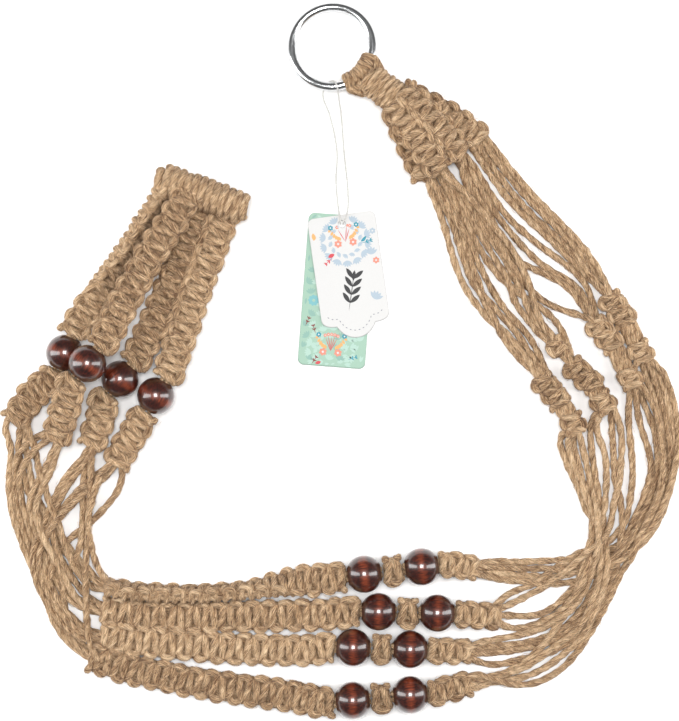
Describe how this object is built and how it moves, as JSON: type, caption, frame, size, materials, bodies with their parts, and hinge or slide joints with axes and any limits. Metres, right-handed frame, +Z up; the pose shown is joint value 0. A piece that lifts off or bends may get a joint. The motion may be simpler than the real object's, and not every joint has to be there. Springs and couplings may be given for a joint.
{
  "type": "hanging planter",
  "caption": "Macrame plant hanger of knotted jute cord with a steel hanging ring, turned wooden beads and a paper tag set, lying slack and curled on a flat surface.",
  "frame": {"origin": "under the middle of the outline, on the surface that the planter lies on", "axes": "+Z up from the surface, +Y from the beaded braids towards the hanging ring, +X towards the side with the free cords and knots"},
  "size_m": [0.3756, 0.3973, 0.035],
  "materials": {
    "ring_steel": "bright nickel plate",
    "jute_cord": "natural jute, two-ply twist, fibrous",
    "bead_wood": "dark mahogany stain under gloss lacquer",
    "tag_thread": "white thread",
    "mint_card": "printed card, satin",
    "white_card": "printed card, satin"
  },
  "bodies": {
    "macrame": {"neck_wrap": "jute_cord", "neck_braid_1": "jute_cord", "neck_braid_2": "jute_cord", "neck_braid_3": "jute_cord", "neck_braid_4": "jute_cord", "upper_cords_1": "jute_cord", "upper_cords_2": "jute_cord", "upper_cords_3": "jute_cord", "upper_cords_4": "jute_cord", "double_knot_1": "jute_cord", "double_knot_2": "jute_cord", "double_knot_3": "jute_cord", "double_knot_4": "jute_cord", "single_knot_1": "jute_cord", "single_knot_2": "jute_cord", "single_knot_3": "jute_cord", "single_knot_4": "jute_cord", "middle_cords_1": "jute_cord", "middle_cords_2": "jute_cord", "middle_cords_3": "jute_cord", "middle_cords_4": "jute_cord", "bead_strand_1": "jute_cord", "bead_strand_2": "jute_cord", "bead_strand_3": "jute_cord", "bead_strand_4": "jute_cord", "long_braid_1": "jute_cord", "long_braid_2": "jute_cord", "long_braid_3": "jute_cord", "long_braid_4": "jute_cord", "crossing_cords_1": "jute_cord", "crossing_cords_2": "jute_cord", "crossing_cords_3": "jute_cord", "crossing_cords_4": "jute_cord", "lower_basket_braid_1": "jute_cord", "lower_basket_braid_2": "jute_cord", "lower_basket_braid_3": "jute_cord", "lower_basket_braid_4": "jute_cord", "upper_basket_braid_1": "jute_cord", "upper_basket_braid_2": "jute_cord", "upper_basket_braid_3": "jute_cord", "upper_basket_braid_4": "jute_cord", "base_knot": "jute_cord", "tag_string": "tag_thread"},
    "ring_eye": {"ring_loops": "jute_cord"},
    "ring": {"hanging_ring": "ring_steel"},
    "tag_back": {"tag_back": "mint_card"},
    "tag_front": {"tag_front": "white_card"},
    "outer_bead_1": {"outer_bead_1": "bead_wood"},
    "outer_bead_2": {"outer_bead_2": "bead_wood"},
    "outer_bead_3": {"outer_bead_3": "bead_wood"},
    "outer_bead_4": {"outer_bead_4": "bead_wood"},
    "inner_bead_1": {"inner_bead_1": "bead_wood"},
    "inner_bead_2": {"inner_bead_2": "bead_wood"},
    "inner_bead_3": {"inner_bead_3": "bead_wood"},
    "inner_bead_4": {"inner_bead_4": "bead_wood"},
    "basket_bead_1": {"basket_bead_1": "bead_wood"},
    "basket_bead_2": {"basket_bead_2": "bead_wood"},
    "basket_bead_3": {"basket_bead_3": "bead_wood"},
    "basket_bead_4": {"basket_bead_4": "bead_wood"}
  },
  "joints": [
    {"name": "ring_tilt", "type": "hinge", "parent": "macrame", "child": "ring_eye", "pos_m": [0.01234, 0.15828, 0.00803], "axis": [0.6769, 0.7361, 0], "range_deg": [0, 85], "deforming": ["tag_string"]},
    {"name": "ring_turn", "type": "hinge", "parent": "ring_eye", "child": "ring", "pos_m": [-0.0041, 0.1734, 0.00529], "axis": [-0.0897, 0.0825, 0.9925], "continuous": true},
    {"name": "tag_back_swing", "type": "hinge", "parent": "macrame", "child": "tag_back", "pos_m": [0.0014, 0.0752, 0.0005], "axis": [0, 0, 1], "range_deg": [-30, 35]},
    {"name": "tag_front_swing", "type": "hinge", "parent": "macrame", "child": "tag_front", "pos_m": [0.0014, 0.0752, 0.0014], "axis": [0, 0, 1], "range_deg": [-35, 30]},
    {"name": "outer_bead_1_turn", "type": "hinge", "parent": "macrame", "child": "outer_bead_1", "pos_m": [0.0454, -0.1148, 0.0104], "axis": [0.9917, 0.1283, 0], "continuous": true},
    {"name": "outer_bead_2_turn", "type": "hinge", "parent": "macrame", "child": "outer_bead_2", "pos_m": [0.0541, -0.1404, 0.0104], "axis": [0.9998, -0.0215, 0], "continuous": true},
    {"name": "outer_bead_3_turn", "type": "hinge", "parent": "macrame", "child": "outer_bead_3", "pos_m": [0.0391, -0.1605, 0.0104], "axis": [0.9995, -0.0316, 0], "continuous": true},
    {"name": "outer_bead_4_turn", "type": "hinge", "parent": "macrame", "child": "outer_bead_4", "pos_m": [0.0391, -0.1856, 0.0104], "axis": [0.9953, 0.097, 0], "continuous": true},
    {"name": "inner_bead_1_turn", "type": "hinge", "parent": "macrame", "child": "inner_bead_1", "pos_m": [0.0137, -0.1189, 0.0104], "axis": [0.9917, 0.1283, 0], "continuous": true},
    {"name": "inner_bead_2_turn", "type": "hinge", "parent": "macrame", "child": "inner_bead_2", "pos_m": [0.0216, -0.1397, 0.0104], "axis": [0.9998, -0.0215, 0], "continuous": true},
    {"name": "inner_bead_3_turn", "type": "hinge", "parent": "macrame", "child": "inner_bead_3", "pos_m": [0.0075, -0.1595, 0.0104], "axis": [0.9995, -0.0316, 0], "continuous": true},
    {"name": "inner_bead_4_turn", "type": "hinge", "parent": "macrame", "child": "inner_bead_4", "pos_m": [0.0073, -0.1887, 0.0104], "axis": [0.9953, 0.097, 0], "continuous": true},
    {"name": "basket_bead_1_turn", "type": "hinge", "parent": "macrame", "child": "basket_bead_1", "pos_m": [-0.1518, 0.0033, 0.0104], "axis": [-0.3903, -0.9207, 0], "continuous": true},
    {"name": "basket_bead_2_turn", "type": "hinge", "parent": "macrame", "child": "basket_bead_2", "pos_m": [-0.1376, -0.0025, 0.0248], "axis": [-0.6112, -0.7915, 0], "continuous": true},
    {"name": "basket_bead_3_turn", "type": "hinge", "parent": "macrame", "child": "basket_bead_3", "pos_m": [-0.1213, -0.0111, 0.0104], "axis": [-0.6392, -0.769, 0], "continuous": true},
    {"name": "basket_bead_4_turn", "type": "hinge", "parent": "macrame", "child": "basket_bead_4", "pos_m": [-0.1016, -0.0203, 0.0104], "axis": [-0.5101, -0.8601, 0], "continuous": true}
  ]
}
